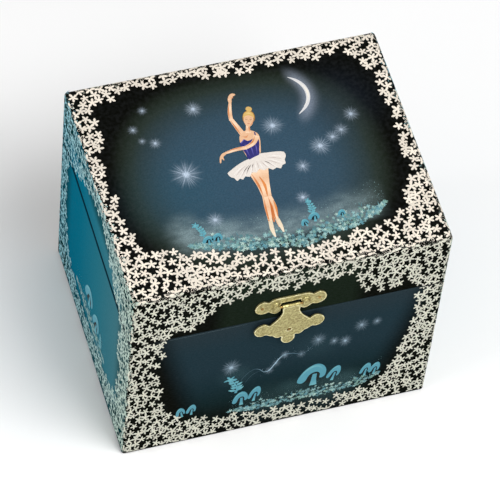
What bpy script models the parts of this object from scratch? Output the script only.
"""Musical jewellery box: paper-covered case and lid, brass latch, turning dancer, wind-up movement.

Sizes below are in millimetres and are scaled to metres when a mesh is stored.
Origin: centre of the case's bottom face. +X right, -Y front, +Z up. Rest pose: lid closed.
"""
import math
import random

import bmesh
import bpy
from mathutils import Matrix, Vector

MM = 0.001
GAP = 0.3
CLEAR = 0.1

WIDTH = 150.0
DEPTH = 120.0
HEIGHT = 130.0
BOARD = 3.0
PARTING = 94.0
RIM_GAP = 0.2
EDGE_ROUND = 1.5

DECK_TOP = 64.0
DIVIDER_Y = -3.0
PAD_HEIGHT = 5.0
LEDGE = 2.4
MIRROR_X = 54.0
MIRROR_Y = 44.0
MIRROR_THICK = 2.0

HINGE_X = 45.0
HINGE_Y = 61.6
LEAF_WIDTH = 16.0
LEAF_HEIGHT = 10.0
LEAF_THICK = 0.6
KNUCKLE_R = 1.5
HINGE_PIN_R = 0.7

LATCH_Y = -61.4
LATCH_Z = 104.0
LATCH_PLATE_THICK = 0.6
NAIL_DEPTH = 2.6
NAIL_HOLE_R = 0.6
NAIL_SEAT = 0.05
HASP_THICK = 0.7
STUD_Z = 85.3

SPINDLE_Y = 22.0
TRAIN_Z = 34.0
MODULE = 0.8
GREAT_TEETH = 36
CYLINDER_TEETH = 18
IDLER_TEETH = 24
FAN_TEETH = 9
BEVEL_TEETH = 16
BEVEL_MODULE = 1.0
BEVEL_FACE = 4.0
MITRE_CLEAR = 6.2
WHEEL_Y = (51.3, 52.9)
BEARING_FRONT_Y = (31.4, 33.2)
BEARING_REAR_Y = (53.6, 55.4)
CYLINDER_R = 6.0
CYLINDER_Y = (34.5, 50.8)
PIN_HEIGHT = 0.4
BARREL_R = 12.0
BARREL_Y = (36.0, 50.9)
ARBOR_R = 1.6
ARBOR_END = 68.0
ARBOR_HOLE_R = 2.4
FAN_BLADE_R = 6.5
FAN_BLADE_Y = (40.0, 49.0)
BED_LOW = 3.4
BED_TOP = 5.6
COMB_BED = 29.0
SHAFT_R = 1.2
THIN_SHAFT_R = 0.8
COMB_TEETH = 18

ROD_X = 64.0
ROD_Y = 51.5
ROD_R = 0.9
ROD_TOP = 90.2
ROD_FOOT = 46.0
ROD_BLOCK = (58.0, 47.0)
ROD_BLOCK_TOP = 108.0
ARM_Y = (-7.0, -5.4)
ARM_Z = (49.2, 50.6)

DISC_R = 9.0
DISC_TOP = 66.4
DANCER_FOOT = 74.0
TUTU_R = 13.0

for old in list(bpy.data.objects):
    bpy.data.objects.remove(old, do_unlink=True)


def material(name, colour, roughness, metallic=0.0):
    mat = bpy.data.materials.new(name)
    mat.use_nodes = True
    shader = mat.node_tree.nodes["Principled BSDF"]
    shader.inputs["Base Color"].default_value = (*colour, 1.0)
    shader.inputs["Roughness"].default_value = roughness
    shader.inputs["Metallic"].default_value = metallic
    mat.diffuse_color = (*colour, 1.0)
    return mat


NIGHT = material("night_paper", (0.018, 0.032, 0.055), 0.45)
TEAL = material("teal_paper", (0.010, 0.110, 0.190), 0.45)
FLOCK = material("blue_flock", (0.035, 0.075, 0.190), 0.95)
BRASS = material("brass", (0.780, 0.620, 0.250), 0.28, 1.0)
STEEL = material("steel", (0.560, 0.570, 0.580), 0.30, 1.0)
IRON = material("cast_iron", (0.300, 0.300, 0.310), 0.50, 1.0)
MIRROR = material("mirror", (0.900, 0.920, 0.930), 0.03, 1.0)
SKIN = material("dancer_plastic", (0.860, 0.610, 0.480), 0.40)
TULLE = material("tulle", (0.880, 0.880, 0.860), 0.80)
WOOD = material("wood", (0.520, 0.360, 0.200), 0.60)


def empty(name, at):
    holder = bpy.data.objects.new(name, None)
    bpy.context.scene.collection.objects.link(holder)
    holder.location = Vector(at) * MM
    return holder


def store(name, bm, mat, group=None, at=(0.0, 0.0, 0.0), smooth=False):
    """Store a closed body whose points are relative to `at`, a point in the box's frame."""
    bmesh.ops.recalc_face_normals(bm, faces=bm.faces)
    bmesh.ops.scale(bm, vec=(MM, MM, MM), verts=bm.verts)
    mesh = bpy.data.meshes.new(name)
    bm.to_mesh(mesh)
    bm.free()
    for face in mesh.polygons:
        face.use_smooth = smooth
    mesh.materials.append(mat)
    obj = bpy.data.objects.new(name, mesh)
    bpy.context.scene.collection.objects.link(obj)
    obj.location = Vector(at) * MM
    if group is not None:
        obj.parent = group
        obj.location = Vector(at) * MM - group.location
    return obj


def boolean(obj, cutter, operation="DIFFERENCE"):
    cutter.hide_render = True
    cutter.display_type = "WIRE"
    mod = obj.modifiers.new(operation.lower(), "BOOLEAN")
    mod.operation = operation
    mod.solver = "EXACT"
    mod.object = cutter
    return mod


def block(lo, hi, bevel_edges=None):
    """Box between two corners; edges for which bevel_edges(a, b) holds are rounded."""
    bm = bmesh.new()
    bmesh.ops.create_cube(bm, size=1.0)
    lo = Vector(lo)
    hi = Vector(hi)
    size = hi - lo
    centre = (hi + lo) / 2
    for vert in bm.verts:
        vert.co = Vector((vert.co.x * size.x, vert.co.y * size.y, vert.co.z * size.z)) + centre
    if bevel_edges is not None:
        chosen = [edge for edge in bm.edges if bevel_edges(edge.verts[0].co, edge.verts[1].co)]
        bmesh.ops.bevel(bm, geom=chosen, offset=EDGE_ROUND, segments=3, profile=0.5, affect="EDGES")
    return bm


def lathe(profile, segments, axis="Z", ring=False):
    """Turn (radius, height) points about an axis; ring=True joins the last point to the first."""
    bm = bmesh.new()
    rows = []
    for radius, height in profile:
        row = []
        for i in range(segments if radius > 0 else 1):
            angle = 2 * math.pi * i / segments
            a = radius * math.cos(angle)
            b = radius * math.sin(angle)
            point = {"Z": (a, b, height), "Y": (a, height, b), "X": (height, a, b)}[axis]
            row.append(bm.verts.new(point))
        rows.append(row)
    pairs = list(zip(rows, rows[1:]))
    if ring:
        pairs.append((rows[-1], rows[0]))
    for low, high in pairs:
        for i in range(segments):
            j = (i + 1) % segments
            if len(low) == 1:
                bm.faces.new((low[0], high[i], high[j]))
            elif len(high) == 1:
                bm.faces.new((low[i], low[j], high[0]))
            else:
                bm.faces.new((low[i], low[j], high[j], high[i]))
    return bm


def rod(radius, start, end, segments=16, axis="Z"):
    return lathe([(0.0, start), (radius, start), (radius, end), (0.0, end)], segments, axis)


def prism(loops, start, end, plane="XZ"):
    """Extrude an outline, with optional hole outlines after it, between two heights."""
    bm = bmesh.new()
    for height in (start, end):
        edges = []
        for loop in loops:
            verts = []
            for a, b in loop:
                point = {"XZ": (a, height, b), "XY": (a, b, height), "YZ": (height, a, b)}[plane]
                verts.append(bm.verts.new(point))
            for i, vert in enumerate(verts):
                edges.append(bm.edges.new((vert, verts[(i + 1) % len(verts)])))
        bmesh.ops.triangle_fill(bm, edges=edges, use_beauty=True)
    bm.verts.ensure_lookup_table()
    half = len(bm.verts) // 2
    first = 0
    for loop in loops:
        count = len(loop)
        for i in range(count):
            j = (i + 1) % count
            corner = (first + i, first + j, half + first + j, half + first + i)
            bm.faces.new([bm.verts[k] for k in corner])
        first += count
    return bm


def circle(centre, radius, count):
    points = []
    for i in range(count):
        angle = 2 * math.pi * i / count
        points.append((centre[0] + radius * math.cos(angle), centre[1] + radius * math.sin(angle)))
    return points


def sweep(path, radii, sides):
    """Closed tapered tube along a path of points."""
    bm = bmesh.new()
    path = [Vector(p) for p in path]
    normal = None
    rings = []
    for i, point in enumerate(path):
        ahead = path[min(i + 1, len(path) - 1)]
        behind = path[max(i - 1, 0)]
        along = (ahead - behind).normalized()
        if normal is None:
            normal = along.orthogonal().normalized()
        normal = (normal - along * normal.dot(along)).normalized()
        side = along.cross(normal)
        ring = []
        for k in range(sides):
            angle = 2 * math.pi * k / sides
            offset = (normal * math.cos(angle) + side * math.sin(angle)) * radii[i]
            ring.append(bm.verts.new(point + offset))
        rings.append(ring)
    for low, high in zip(rings, rings[1:]):
        for k in range(sides):
            m = (k + 1) % sides
            bm.faces.new((low[k], low[m], high[m], high[k]))
    bm.faces.new(rings[0])
    bm.faces.new(rings[-1])
    return bm


def tooth_angles(teeth, module, radius, offset):
    """Half angle of a tooth flank at an offset from the pitch circle."""
    pitch = math.pi * module
    half = 0.42 * pitch / 2 - offset * math.tan(math.radians(20))
    return min(half / radius, 0.44 * 2 * math.pi / teeth)


def spur_outline(teeth, phase):
    pitch_r = teeth * MODULE / 2
    tip = pitch_r + 0.85 * MODULE
    root = pitch_r - 1.15 * MODULE
    tip_half = tooth_angles(teeth, MODULE, tip, 0.85 * MODULE)
    root_half = tooth_angles(teeth, MODULE, root, -1.15 * MODULE)
    points = []
    for i in range(teeth):
        mid = phase + 2 * math.pi * i / teeth
        for radius, angle in ((root, -root_half), (tip, -tip_half), (tip, tip_half), (root, root_half)):
            points.append((radius * math.cos(mid + angle), radius * math.sin(mid + angle)))
    return points


def meshed_phase(from_teeth, from_phase, to_teeth, direction):
    """Phase of a wheel that meshes with another lying in the given direction from it."""
    step = 2 * math.pi / from_teeth
    lead = (from_phase - direction) % step
    return direction + math.pi - lead * from_teeth / to_teeth + math.pi / to_teeth


def bevel_gear(phase, bore):
    """Mitre gear with its cone's apex at the origin and its back facing +Z."""
    bm = bmesh.new()
    pitch_r = BEVEL_TEETH * BEVEL_MODULE / 2
    slope = math.sqrt(0.5)
    cone = pitch_r / slope
    shrink = (cone - BEVEL_FACE) / cone
    corners = []
    for offset in (-1.1 * BEVEL_MODULE, 0.8 * BEVEL_MODULE):
        radius = pitch_r + offset * slope
        half = tooth_angles(BEVEL_TEETH, BEVEL_MODULE, radius, offset)
        corners.append((radius, pitch_r - offset * slope, half))
    root, tip = corners
    order = ((root, -1), (tip, -1), (tip, 1), (root, 1))
    rings = []
    for scale in (1.0, shrink):
        ring = []
        for i in range(BEVEL_TEETH):
            mid = phase + 2 * math.pi * i / BEVEL_TEETH
            for (radius, height, half), side in order:
                angle = mid + side * half
                point = Vector((radius * math.cos(angle), radius * math.sin(angle), height)) * scale
                ring.append(bm.verts.new(point))
        rings.append(ring)
    back = root[1] + 0.4
    front = root[1] * shrink + 0.3
    hubs = []
    for height in (back, front):
        hub = []
        for i in range(BEVEL_TEETH):
            mid = phase + 2 * math.pi * i / BEVEL_TEETH
            hub.append(bm.verts.new((bore * math.cos(mid), bore * math.sin(mid), height)))
        hubs.append(hub)
    count = len(rings[0])
    for i in range(count):
        j = (i + 1) % count
        bm.faces.new((rings[0][i], rings[0][j], rings[1][j], rings[1][i]))
    for ring, hub in zip(rings, hubs):
        for i in range(BEVEL_TEETH):
            nxt = (i + 1) % BEVEL_TEETH
            tooth = [ring[4 * i + k] for k in range(4)] + [ring[4 * nxt]]
            for k in range(4):
                bm.faces.new((tooth[k], tooth[k + 1], hub[i]))
            bm.faces.new((tooth[4], hub[nxt], hub[i]))
    for i in range(BEVEL_TEETH):
        nxt = (i + 1) % BEVEL_TEETH
        bm.faces.new((hubs[0][i], hubs[0][nxt], hubs[1][nxt], hubs[1][i]))
    return bm


def cutter(name, bm, group=None, at=(0.0, 0.0, 0.0)):
    obj = store(name, bm, STEEL, group, at)
    obj.hide_render = True
    obj.display_type = "WIRE"
    return obj


# Case: four walls, bottom, divider, stage deck and its ledges.
HALF_W = WIDTH / 2
HALF_D = DEPTH / 2
CASE_TOP = PARTING - RIM_GAP
INNER_X = HALF_W - BOARD
INNER_Y = HALF_D - BOARD
SIDE_Y = INNER_Y - GAP
FIT_X = INNER_X - GAP


def corner_edge(sign):
    """True for the outer upright edges of a board that faces -Y (sign -1) or +Y (sign 1)."""
    def test(a, b):
        upright = abs(a.x - b.x) < 0.01 and abs(a.y - b.y) < 0.01
        return upright and abs(abs(a.x) - HALF_W) < 0.01 and abs(a.y - sign * HALF_D) < 0.01
    return test


def top_edge(a, b):
    """True for the upper edges and the upright corners of the lid's top board."""
    upright = abs(a.z - b.z) > 0.01
    upper = min(a.z, b.z) > HEIGHT - 0.01
    return upright or upper


store("case_front", block((-HALF_W, -HALF_D, 0), (HALF_W, -INNER_Y, CASE_TOP), corner_edge(-1)), NIGHT)
case_back_bm = block((-HALF_W, INNER_Y, 0), (HALF_W, HALF_D, CASE_TOP), corner_edge(1))
case_back = store("case_back", case_back_bm, NIGHT)
for side, name in ((-1, "left"), (1, "right")):
    outer = side * HALF_W
    inner = side * INNER_X
    low_x = min(outer, inner)
    high_x = max(outer, inner)
    store("case_" + name, block((low_x, -SIDE_Y, 0), (high_x, SIDE_Y, CASE_TOP)), TEAL)
    edge = side * (FIT_X - LEDGE)
    rail = side * FIT_X
    ledge_top = DECK_TOP - BOARD - GAP
    ledge = block((min(edge, rail), 1.0, ledge_top - 4.0), (max(edge, rail), SIDE_Y, ledge_top))
    store("deck_ledge_" + name, ledge, WOOD)

store("case_bottom", block((-FIT_X, -SIDE_Y, 0), (FIT_X, SIDE_Y, BOARD)), NIGHT)
store("divider", block((-FIT_X, DIVIDER_Y, BOARD + GAP), (FIT_X, 0.0, DECK_TOP)), FLOCK)
pad = block((-FIT_X + 0.5, -SIDE_Y + 0.5, 0), (FIT_X - 0.5, DIVIDER_Y - 1.0, PAD_HEIGHT))
pad_top = [edge for edge in pad.edges if min(v.co.z for v in edge.verts) > PAD_HEIGHT - 0.01]
bmesh.ops.bevel(pad, geom=pad_top, offset=1.6, segments=3, profile=0.5, affect="EDGES")
store("compartment_pad", pad, FLOCK, at=(0, 0, BOARD + GAP))

deck = store("stage_deck", block((-FIT_X, GAP, DECK_TOP - BOARD), (FIT_X, SIDE_Y, DECK_TOP)), FLOCK)
boolean(deck, cutter("cut_spindle", rod(2.0, DECK_TOP - 5, DECK_TOP + 2), at=(0, SPINDLE_Y, 0)))
boolean(deck, cutter("cut_rod", rod(ROD_R + 0.3, DECK_TOP - 5, DECK_TOP + 2), at=(ROD_X, ROD_Y, 0)))

# Lid: top, four walls, mirror, and the block that holds the start rod down.
lid = empty("lid_axis", (0, HINGE_Y, PARTING))
LID_LOW = PARTING + RIM_GAP
LID_HIGH = HEIGHT - BOARD - GAP
lid_top = block((-HALF_W, -HALF_D, HEIGHT - BOARD), (HALF_W, HALF_D, HEIGHT), top_edge)
store("lid_top", lid_top, NIGHT, lid)
lid_front_bm = block((-HALF_W, -HALF_D, LID_LOW), (HALF_W, -INNER_Y, LID_HIGH), corner_edge(-1))
lid_front = store("lid_front", lid_front_bm, NIGHT, lid)
lid_back_bm = block((-HALF_W, INNER_Y, LID_LOW), (HALF_W, HALF_D, LID_HIGH), corner_edge(1))
lid_back = store("lid_back", lid_back_bm, NIGHT, lid)
for side, name in ((-1, "left"), (1, "right")):
    xs = sorted((side * HALF_W, side * INNER_X))
    store("lid_" + name, block((xs[0], -SIDE_Y, LID_LOW), (xs[1], SIDE_Y, LID_HIGH)), TEAL, lid)
mirror_top = HEIGHT - BOARD - GAP
mirror_low = mirror_top - MIRROR_THICK
store("mirror", block((-MIRROR_X, -MIRROR_Y, mirror_low), (MIRROR_X, MIRROR_Y, mirror_top)), MIRROR, lid)
store("rod_block", block((*ROD_BLOCK, ROD_TOP + GAP), (FIT_X, SIDE_Y, ROD_BLOCK_TOP)), WOOD, lid)


# Butt hinges: case leaf with two outer knuckles, lid leaf with the middle one, pin and nails.
def leaf(name, x, upper, group):
    """Leaf with tabs that run into its knuckles, the pin's bore and two nail holes."""
    sign = 1 if upper else -1
    near = sign * (KNUCKLE_R + GAP)
    far = near + sign * LEAF_HEIGHT
    half = LEAF_WIDTH / 2
    third = LEAF_WIDTH / 6
    if upper:
        spans = [(-third + CLEAR, third - CLEAR)]
        inner = [(-third + CLEAR, near), (-third + CLEAR, 0.0), (third - CLEAR, 0.0), (third - CLEAR, near)]
        loop = [(-half, far), (-half, near)] + inner + [(half, near), (half, far)]
    else:
        spans = [(-half, -third - CLEAR), (third + CLEAR, half)]
        inner = [(-third - CLEAR, 0.0), (-third - CLEAR, near), (third + CLEAR, near), (third + CLEAR, 0.0)]
        loop = [(-half, far), (-half, 0.0)] + inner + [(half, 0.0), (half, far)]
    face = HALF_D + 2 * CLEAR - HINGE_Y
    middle = (near + far) / 2
    nails = [(-half + 3.2, middle), (half - 3.2, middle)]
    holes = [circle(spot, NAIL_HOLE_R, 8) for spot in nails]
    at = (x, HINGE_Y, PARTING)
    obj = store(name, prism([loop] + holes, face, face + LEAF_THICK), BRASS, group, at)
    for k, (start, end) in enumerate(spans):
        roll = rod(KNUCKLE_R, start - 0.01, end + 0.01, 14, "X")
        boolean(obj, cutter("%s_roll%d" % (name, k), roll, group, at), "UNION")
    bore = rod(HINGE_PIN_R + CLEAR, -LEAF_WIDTH, LEAF_WIDTH, 10, "X")
    boolean(obj, cutter(name + "_bore", bore, group, at))
    return nails


def nail(name, x, y, z, inward, shank, group):
    """Round-headed nail driven along Y; inward is +1 when it points to +Y."""
    head = [(0.0, -0.7), (0.6, -0.5), (0.95, -0.02), (0.45, 0.0), (0.45, shank), (0.0, shank)]
    profile = [(radius, height * inward) for radius, height in head]
    store(name, lathe(profile, 8, "Y"), BRASS, group, at=(x, y, z), smooth=True)


def nail_holes(board, spots, y_from, y_to, group, name):
    for k, (x, z) in enumerate(spots):
        hole = rod(NAIL_HOLE_R, y_from, y_to, 8, "Y")
        boolean(board, cutter("%s_hole%d" % (name, k), hole, group, (x, 0, z)))


case_spots = []
lid_spots = []
for side, name in ((-1, "left"), (1, "right")):
    x = side * HINGE_X
    for upper, group, spots, part in ((False, None, case_spots, "case"), (True, lid, lid_spots, "lid")):
        for k, (dx, dz) in enumerate(leaf("hinge_leaf_%s_%s" % (part, name), x, upper, group)):
            face_y = HALF_D + 2 * CLEAR + LEAF_THICK + NAIL_SEAT
            nail_name = "hinge_nail_%s_%s_%d" % (part, name, k + 1)
            nail(nail_name, x + dx, face_y, PARTING + dz, -1, NAIL_DEPTH, group)
            spots.append((x + dx, PARTING + dz))
    pin = rod(HINGE_PIN_R, -LEAF_WIDTH / 2, LEAF_WIDTH / 2, 10, "X")
    store("hinge_pin_" + name, pin, STEEL, at=(x, HINGE_Y, PARTING))
nail_holes(case_back, case_spots, HALF_D - NAIL_DEPTH, HALF_D + 1, None, "case_back")
nail_holes(lid_back, lid_spots, HALF_D - NAIL_DEPTH, HALF_D + 1, lid, "lid_back")

# Latch: scalloped plate on the lid, pin, hanging hasp, and the stud on the case.
PLATE_HALF = [
    (0.0, 110.4), (6.0, 110.4), (8.6, 110.1), (9.8, 109.2), (10.6, 108.5), (11.4, 109.0), (12.9, 109.8),
    (14.6, 109.3), (16.1, 107.6), (16.9, 105.2), (16.6, 102.9), (15.4, 101.2), (13.4, 100.3), (11.6, 100.5),
    (10.4, 101.0), (9.6, 100.3), (8.6, 99.3), (7.0, 98.7), (5.6, 99.3), (4.8, 100.2), (4.6, 101.5),
    (4.6, 106.4), (0.0, 106.4),
]
HASP_HALF = [
    (0.0, 104.4), (3.9, 104.4), (4.0, 100.8), (4.4, 99.0), (5.2, 97.0), (6.4, 95.0), (8.0, 93.0),
    (9.6, 91.3), (10.4, 92.0), (11.6, 93.0), (13.6, 92.9), (15.4, 91.6), (16.5, 89.8), (16.7, 87.8),
    (16.0, 85.8), (14.6, 84.4), (12.9, 84.0), (11.4, 84.5), (10.2, 84.0), (9.0, 82.9), (7.6, 82.4),
    (6.6, 80.9), (4.9, 80.0), (3.6, 80.4), (3.1, 79.6), (3.3, 77.9), (2.7, 75.9), (1.5, 74.5), (0.0, 74.0),
]


def mirrored(half):
    """Close a half outline that starts and ends on the middle line."""
    return half + [(-x, z) for x, z in reversed(half) if x > 0.0]


LATCH_NAILS = [(-13.6, 104.8), (13.6, 104.8)]
BOSS_X = 7.2
BOSS_PROFILE = [(0.0, -62.3), (1.2, -62.2), (2.0, -61.7), (2.4, -60.9), (2.5, -60.4), (0.0, -60.4)]
STUD_HOLE_R = 1.0
plate_face = -HALF_D - CLEAR - LATCH_PLATE_THICK
plate_loops = [mirrored(PLATE_HALF)] + [circle(spot, NAIL_HOLE_R, 8) for spot in LATCH_NAILS]
plate_bm = prism(plate_loops, plate_face, plate_face + LATCH_PLATE_THICK)
latch_plate = store("latch_plate", plate_bm, BRASS, lid)
for side in (-1, 1):
    boss = lathe(BOSS_PROFILE, 16, "Y")
    boolean(latch_plate, cutter("latch_boss%d" % side, boss, lid, (side * BOSS_X, 0, LATCH_Z)), "UNION")
pin_bore = rod(0.6, -6.6, 6.6, 12, "X")
boolean(latch_plate, cutter("latch_bore", pin_bore, lid, (0, LATCH_Y, LATCH_Z)))
store("latch_pin", rod(0.5, -6.4, 6.4, 12, "X"), STEEL, lid, (0, LATCH_Y, LATCH_Z))
for k, (x, z) in enumerate(LATCH_NAILS):
    nail("latch_nail_%d" % (k + 1), x, plate_face - NAIL_SEAT, z, 1, NAIL_DEPTH, lid)
nail_holes(lid_front, LATCH_NAILS, -HALF_D - 1, -HALF_D + NAIL_DEPTH, lid, "lid_front")

hasp_axis = empty("hasp_axis", (0, LATCH_Y, LATCH_Z))
HASP_KNUCKLE_R = 1.1
HASP_FRONT = LATCH_Y - HASP_KNUCKLE_R
hasp_loops = [mirrored(HASP_HALF), circle((0, STUD_Z), STUD_HOLE_R, 16)]
hasp_bm = prism(hasp_loops, HASP_FRONT, HASP_FRONT + HASP_THICK)
bmesh.ops.translate(hasp_bm, vec=(0, -LATCH_Y, -LATCH_Z), verts=hasp_bm.verts)
hasp = store("hasp", hasp_bm, BRASS, hasp_axis, (0, LATCH_Y, LATCH_Z))
hasp_knuckle = rod(HASP_KNUCKLE_R, -4.2, 4.2, 20, "X")
hasp_roll = cutter("hasp_roll", hasp_knuckle, hasp_axis, (0, LATCH_Y, LATCH_Z))
boolean(hasp, hasp_roll, "UNION")
boolean(hasp, cutter("hasp_bore", rod(0.6, -6, 6, 12, "X"), hasp_axis, (0, LATCH_Y, LATCH_Z)))
stud_profile = [
    (0.0, -62.9), (0.45, -62.85), (0.75, -62.6), (0.8, -62.2),
    (0.8, -60.7), (2.6, -60.6), (2.6, -60.1), (0.0, -60.1),
]
store("catch_stud", lathe(stud_profile, 20, "Y"), BRASS, at=(0, 0, STUD_Z), smooth=True)

# Movement frame: bedplate with the raised comb bed, two bearing plates, and the spindle's bracket.
IDLER_ANGLE = math.radians(40)
FAN_ANGLE = math.radians(-20)
great_r = GREAT_TEETH * MODULE / 2
cylinder_r = CYLINDER_TEETH * MODULE / 2
idler_r = IDLER_TEETH * MODULE / 2
fan_r = FAN_TEETH * MODULE / 2
BARREL_X = -(great_r + cylinder_r)
IDLER = (
    (cylinder_r + idler_r) * math.cos(IDLER_ANGLE),
    TRAIN_Z + (cylinder_r + idler_r) * math.sin(IDLER_ANGLE),
)
FAN = (
    IDLER[0] + (idler_r + fan_r) * math.cos(FAN_ANGLE),
    IDLER[1] + (idler_r + fan_r) * math.sin(FAN_ANGLE),
)
bed = [
    (-34, BED_LOW), (34, BED_LOW), (34, BED_TOP), (24.5, BED_TOP), (24.5, COMB_BED),
    (14.5, COMB_BED), (14.5, BED_TOP), (-34, BED_TOP),
]
bedplate = store("bedplate", prism([bed], BEARING_FRONT_Y[1] + GAP, BEARING_REAR_Y[0] - GAP), IRON)
plate_outline = [(-30, BED_LOW), (33, BED_LOW), (33, 45), (27, 50), (6, 50), (-2, 44), (-30, 44)]
shafts = [((BARREL_X, TRAIN_Z), ARBOR_R), ((0, TRAIN_Z), SHAFT_R), (IDLER, SHAFT_R), (FAN, THIN_SHAFT_R)]
for name, (start, end) in (("bearing_front", BEARING_FRONT_Y), ("bearing_rear", BEARING_REAR_Y)):
    holes = [circle(spot, radius + CLEAR, 16) for spot, radius in shafts]
    store(name, prism([plate_outline] + holes, start, end), BRASS)
BRACKET_Z = (50.3, 52.3)
bracket_loop = [(-6, 14.5), (6, 14.5), (6, BEARING_FRONT_Y[1]), (-6, BEARING_FRONT_Y[1])]
bracket_loops = [bracket_loop, circle((0, SPINDLE_Y), SHAFT_R + CLEAR, 16)]
bracket_bm = prism(bracket_loops, BRACKET_Z[0], BRACKET_Z[1], "XY")
store("spindle_bracket", bracket_bm, BRASS)

# Comb with its tuned teeth, held by two screws.
COMB_Y = (35.0, 50.4)
COMB_Z = (COMB_BED + GAP, COMB_BED + GAP + 1.0)
COMB_TIP_X = 5.7
comb_step = (COMB_Y[1] - COMB_Y[0]) / COMB_TEETH
comb_loop = [(24.0, COMB_Y[1]), (24.0, COMB_Y[0])]
for k in range(COMB_TEETH):
    low = COMB_Y[0] + k * comb_step
    high = low + comb_step * 0.72
    slot = 15.0 - 0.15 * k
    comb_loop += [(COMB_TIP_X, low), (COMB_TIP_X, high)]
    if k < COMB_TEETH - 1:
        comb_loop += [(slot, high), (slot, low + comb_step)]
comb_loop += [(COMB_TIP_X + 1.5, COMB_Y[1])]
SCREWS = [(20.0, 38.5), (20.0, 46.9)]
comb_holes = [circle(spot, 1.3, 12) for spot in SCREWS]
store("comb", prism([comb_loop] + comb_holes, COMB_Z[0], COMB_Z[1], "XY"), STEEL)
for k, (x, y) in enumerate(SCREWS):
    profile = [(0.0, 25.0), (1.1, 25.0), (1.1, 30.4), (2.1, 30.5), (2.1, 31.3), (1.7, 31.8), (0.0, 31.8)]
    store("comb_screw_%d" % (k + 1), lathe(profile, 12), STEEL, at=(x, y, 0))
    boolean(bedplate, cutter("cut_screw%d" % k, rod(1.3, 24.5, 30.0, 12), at=(x, y, 0)))

# Spring barrel and great wheel, turning about the winding arbor.
barrel = empty("barrel_axis", (BARREL_X, 0, TRAIN_Z))
barrel_at = (BARREL_X, 0, TRAIN_Z)
barrel_bore = ARBOR_R + 0.15
drum = [
    (barrel_bore, BARREL_Y[0]), (BARREL_R - 0.6, BARREL_Y[0]), (BARREL_R, BARREL_Y[0] + 0.6),
    (BARREL_R, BARREL_Y[1]), (barrel_bore, BARREL_Y[1]),
]
store("spring_barrel", lathe(drum, 32, "Y", ring=True), BRASS, barrel, barrel_at)
great_phase = 0.0
wheel_loops = [spur_outline(GREAT_TEETH, great_phase), circle((0, 0), barrel_bore, 16)]
store("great_wheel", prism(wheel_loops, WHEEL_Y[0], WHEEL_Y[1]), BRASS, barrel, barrel_at)

# Pinned cylinder with its wheel and mitre gear.
train = empty("cylinder_axis", (0, 0, TRAIN_Z))
train_at = (0, 0, TRAIN_Z)
pins = random.Random(18)
SEGMENTS = 24
ROWS = 9
PINS_PER_ROW = 3
heights = [CYLINDER_Y[0] + (CYLINDER_Y[1] - CYLINDER_Y[0]) * k / ROWS for k in range(ROWS + 1)]
outline = [(0.0, SPINDLE_Y + MITRE_CLEAR), (SHAFT_R, SPINDLE_Y + MITRE_CLEAR), (SHAFT_R, CYLINDER_Y[0])]
outline += [(CYLINDER_R, height) for height in heights]
outline += [(SHAFT_R, CYLINDER_Y[1]), (SHAFT_R, BEARING_REAR_Y[1]), (0.0, BEARING_REAR_Y[1])]
bm = lathe(outline, SEGMENTS, "Y")
panels = [[] for _ in range(ROWS)]
for face in bm.faces:
    centre = face.calc_center_median()
    if math.hypot(centre.x, centre.z) > CYLINDER_R * 0.98 and abs(face.normal.y) < 0.5:
        row = int((centre.y - CYLINDER_Y[0]) / (CYLINDER_Y[1] - CYLINDER_Y[0]) * ROWS)
        panels[row].append(face)
chosen = []
for row in panels:
    row.sort(key=lambda face: math.atan2(face.calc_center_median().z, face.calc_center_median().x))
    start = pins.randrange(8)
    chosen += [row[(start + 8 * k + pins.randrange(5)) % len(row)] for k in range(PINS_PER_ROW)]
bmesh.ops.recalc_face_normals(bm, faces=bm.faces)
bmesh.ops.inset_individual(bm, faces=chosen, thickness=0.38, depth=0.0)
lifted = bmesh.ops.extrude_discrete_faces(bm, faces=chosen)["faces"]
for face in lifted:
    out = face.normal.normalized() * PIN_HEIGHT
    for vert in face.verts:
        vert.co += out
store("pinned_cylinder", bm, BRASS, train, train_at)
cylinder_phase = meshed_phase(GREAT_TEETH, great_phase, CYLINDER_TEETH, 0.0)
wheel_loops = [spur_outline(CYLINDER_TEETH, cylinder_phase), circle((0, 0), SHAFT_R + 0.05, SEGMENTS)]
store("cylinder_wheel", prism(wheel_loops, WHEEL_Y[0], WHEEL_Y[1]), BRASS, train, train_at)
mitre = bevel_gear(0.0, SHAFT_R + 0.1)
to_y = Matrix(((0, 1, 0), (0, 0, 1), (1, 0, 0))).to_4x4()
bmesh.ops.transform(mitre, matrix=to_y, verts=mitre.verts)
bmesh.ops.translate(mitre, vec=(0, SPINDLE_Y, 0), verts=mitre.verts)
store("cylinder_mitre", mitre, BRASS, train, train_at)

# Idler wheel and governor fan.
idler_phase = meshed_phase(CYLINDER_TEETH, cylinder_phase, IDLER_TEETH, IDLER_ANGLE)
fan_phase = meshed_phase(IDLER_TEETH, idler_phase, FAN_TEETH, FAN_ANGLE)
idler_axis = empty("idler_axis", (IDLER[0], 0, IDLER[1]))
idler_at = (IDLER[0], 0, IDLER[1])
idler_bm = prism([spur_outline(IDLER_TEETH, idler_phase)], *WHEEL_Y)
idler = store("idler_wheel", idler_bm, BRASS, idler_axis, idler_at)
idler_shaft = rod(SHAFT_R, BEARING_FRONT_Y[0], BEARING_REAR_Y[1], 16, "Y")
boolean(idler, cutter("idler_shaft", idler_shaft, idler_axis, idler_at), "UNION")
fan_axis = empty("fan_axis", (FAN[0], 0, FAN[1]))
fan_at = (FAN[0], 0, FAN[1])
fan = store("governor_fan", prism([spur_outline(FAN_TEETH, fan_phase)], *WHEEL_Y), BRASS, fan_axis, fan_at)
fan_shaft = rod(THIN_SHAFT_R, BEARING_FRONT_Y[0], BEARING_REAR_Y[1], 16, "Y")
boolean(fan, cutter("fan_shaft", fan_shaft, fan_axis, fan_at), "UNION")
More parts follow.
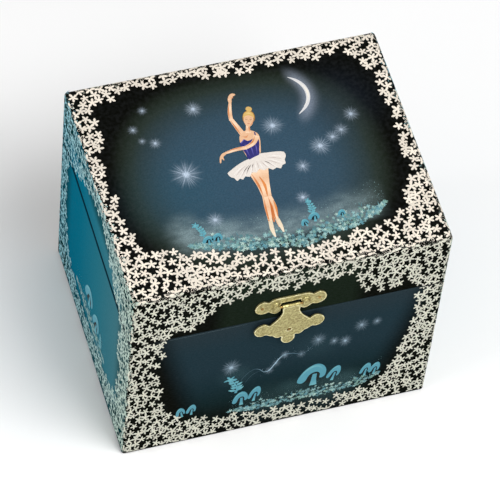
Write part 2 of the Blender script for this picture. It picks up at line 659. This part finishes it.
blades = block((-FAN_BLADE_R, FAN_BLADE_Y[0], -0.3), (FAN_BLADE_R, FAN_BLADE_Y[1], 0.3))
boolean(fan, cutter("fan_blades", blades, fan_axis, fan_at), "UNION")

# Winding arbor and butterfly key at the back.
winder = empty("winder_axis", (BARREL_X, 0, TRAIN_Z))
store("winding_arbor", rod(ARBOR_R, BEARING_FRONT_Y[0], ARBOR_END, 16, "Y"), STEEL, winder, barrel_at)
boolean(case_back, cutter("cut_arbor", rod(ARBOR_HOLE_R, HALF_D - 6, HALF_D + 2, 20, "Y"), at=barrel_at))
stem_bore = ARBOR_R + CLEAR
stem = [(0.0, 61.0), (2.9, 61.0), (2.9, 63.0), (2.4, 64.0), (2.4, 72.0), (0.0, 72.0)]
key = store("winding_key", lathe(stem, 16, "Y"), STEEL, winder, barrel_at)
bow = [
    (0.0, 67.0), (3.0, 67.4), (6.5, 66.4), (9.6, 67.2), (11.6, 70.0), (11.8, 73.5),
    (9.8, 76.6), (6.6, 77.8), (3.4, 76.8), (1.2, 74.6), (0.0, 74.2),
]
bow_loops = [mirrored(bow), circle((6.9, 72.3), 2.9, 12), circle((-6.9, 72.3), 2.9, 12)]
bow_bm = prism(bow_loops, -0.8, 0.8, "XY")
boolean(key, cutter("key_bow", bow_bm, winder, barrel_at), "UNION")
boolean(key, cutter("key_bore", rod(stem_bore, 60.0, ARBOR_END + GAP, 16, "Y"), winder, barrel_at))

# Start rod: held down by the lid, with the arm that brakes the fan.
rod_axis = empty("start_rod_axis", (ROD_X, ROD_Y, 0))
start_rod = store("start_rod", rod(ROD_R, ROD_FOOT, ROD_TOP, 16), STEEL, rod_axis, (ROD_X, ROD_Y, 0))
arm = block((FAN[0] - ROD_X, ARM_Y[0], ARM_Z[0]), (0.5, ARM_Y[1], ARM_Z[1]))
elbow = block((-0.8, ARM_Y[0], ARM_Z[0]), (0.8, 0.3, ARM_Z[1]))
boolean(start_rod, cutter("rod_arm", arm, rod_axis, (ROD_X, ROD_Y, 0)), "UNION")
boolean(start_rod, cutter("rod_elbow", elbow, rod_axis, (ROD_X, ROD_Y, 0)), "UNION")

# Stage spindle, its mitre gear, turntable, coil spring and dancer.
dancer_axis = empty("dancer_axis", (0, SPINDLE_Y, 0))
stage_at = (0, SPINDLE_Y, 0)
store("spindle", rod(SHAFT_R, TRAIN_Z + MITRE_CLEAR, DISC_TOP - 0.2, 16), STEEL, dancer_axis, stage_at)
wheel_phase = math.pi / 2 + math.pi / BEVEL_TEETH
spindle_mitre = bevel_gear(wheel_phase, SHAFT_R + 0.1)
bmesh.ops.translate(spindle_mitre, vec=(0, 0, TRAIN_Z), verts=spindle_mitre.verts)
store("spindle_mitre", spindle_mitre, BRASS, dancer_axis, stage_at)
disc_low = DECK_TOP + 0.4
disc_bore = SHAFT_R + CLEAR
disc = [
    (disc_bore, disc_low), (DISC_R - 0.4, disc_low), (DISC_R, disc_low + 0.4),
    (DISC_R, DISC_TOP - 0.5), (DISC_R - 0.4, DISC_TOP), (disc_bore, DISC_TOP),
]
store("turntable", lathe(disc, 24, ring=True), FLOCK, dancer_axis, stage_at)
TURNS = 4
STEPS = 9
COIL_R = 2.2
COIL_LOW = DISC_TOP + 0.8
COIL_HEIGHT = 6.0
coil = []
for k in range(TURNS * STEPS + 1):
    angle = 2 * math.pi * k / STEPS
    rise = COIL_LOW + COIL_HEIGHT * k / (TURNS * STEPS)
    coil.append((COIL_R * math.cos(angle), COIL_R * math.sin(angle), rise))
store("dancer_spring", sweep(coil, [0.4] * len(coil), 4), STEEL, dancer_axis, stage_at, smooth=True)

# Dancer: feet together on point, one arm raised, one held out low.
figure = [
    (0.0, 0.0), (1.9, 0.0), (2.1, 0.8), (0.9, 2.2), (1.0, 4.5), (1.5, 8.0), (1.7, 11.0), (1.4, 14.0),
    (1.9, 18.0), (2.6, 22.0), (2.9, 24.0), (2.1, 27.0), (2.3, 29.0), (2.7, 31.0), (2.2, 33.0),
    (0.9, 34.2), (0.85, 35.3), (1.6, 36.2), (2.0, 37.8), (1.8, 39.4), (1.2, 40.3), (1.1, 41.2),
    (0.6, 42.0), (0.0, 42.2),
]
foot_at = (0, SPINDLE_Y, DANCER_FOOT)
dancer = store("dancer", lathe(figure, 12), SKIN, dancer_axis, foot_at, smooth=True)
raised = [
    (-1.2, 0, 31.6), (-3.6, -0.4, 33.4), (-5.0, -1.0, 37.2),
    (-4.6, -1.6, 41.0), (-2.6, -2.0, 44.4), (-1.2, -2.2, 45.8),
]
lowered = [(1.2, 0, 31.6), (3.8, -0.8, 30.0), (6.2, -2.6, 28.4), (8.2, -5.0, 27.8), (9.4, -7.0, 28.2)]
arm_up = sweep(raised, [0.9, 0.95, 0.8, 0.7, 0.6, 0.3], 6)
arm_low = sweep(lowered, [0.9, 0.9, 0.75, 0.6, 0.35], 6)
boolean(dancer, cutter("arm_up", arm_up, dancer_axis, foot_at), "UNION")
boolean(dancer, cutter("arm_low", arm_low, dancer_axis, foot_at), "UNION")
skirt = [
    (3.3, 24.6), (6.0, 24.4), (9.5, 23.8), (TUTU_R, 23.0),
    (TUTU_R, 23.8), (9.5, 25.4), (6.0, 26.2), (3.3, 26.2),
]
store("tutu", lathe(skirt, 28, ring=True), TULLE, dancer_axis, foot_at, smooth=True)
